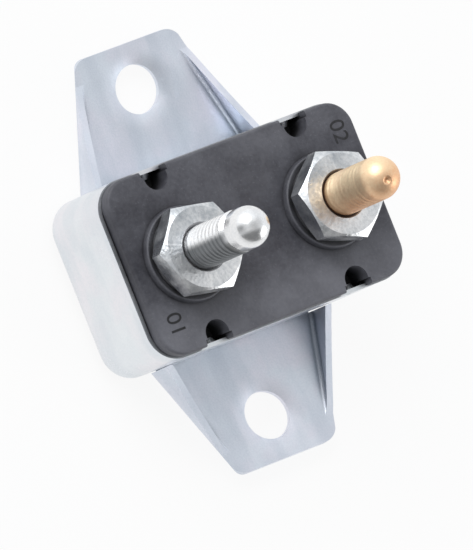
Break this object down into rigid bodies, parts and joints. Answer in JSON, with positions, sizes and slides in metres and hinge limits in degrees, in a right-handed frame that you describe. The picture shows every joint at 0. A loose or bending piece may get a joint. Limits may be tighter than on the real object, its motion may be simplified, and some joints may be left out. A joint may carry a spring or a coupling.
{
  "type": "panel mount circuit breaker",
  "caption": "Thermal circuit breaker in a small steel can on a strap bracket with two screw ears, with a dark moulded base, two threaded terminal studs and hexagon nuts.",
  "frame": {"origin": "centre of the bracket's flat underside, which meets the panel", "axes": "+Z along the studs away from the panel, +X from the auxiliary stud to the battery stud, +Y along the line of the two screw holes"},
  "size_m": [0.0344, 0.0484, 0.0292],
  "materials": {
    "bracket_steel": "zinc plated, satin",
    "can_steel": "zinc plated, pale satin",
    "fibre": "pressed fibre, matte",
    "moulding": "moulded phenolic, matte",
    "stud_steel": "bright zinc",
    "stud_copper": "copper flash, satin",
    "nut_steel": "bright zinc, grained",
    "washer_steel": "dull zinc",
    "plate_brass": "plain",
    "contact_silver": "fine silver, satin",
    "bimetal": "rolled strip"
  },
  "bodies": {
    "breaker": {"mounting_bracket": "bracket_steel", "housing_can": "can_steel", "insulating_sheet": "fibre", "terminal_base": "moulding", "auxiliary_stud": "stud_steel", "battery_stud": "stud_copper", "auxiliary_nut": "nut_steel", "battery_nut": "nut_steel", "auxiliary_lock_washer": "washer_steel", "battery_lock_washer": "washer_steel", "contact_plate": "plate_brass", "fixed_contact": "contact_silver", "blade_support": "plate_brass"},
    "blade": {"bimetal_blade": "bimetal", "moving_contact": "contact_silver"}
  },
  "joints": [
    {"name": "blade_bend", "type": "hinge", "parent": "breaker", "child": "blade", "pos_m": [-0.01335, 0, 0.0067], "axis": [0, 1, 0], "range_deg": [0, 5], "stiffness_Nm_per_rad": 0.1, "springref_deg": -2.86}
  ]
}
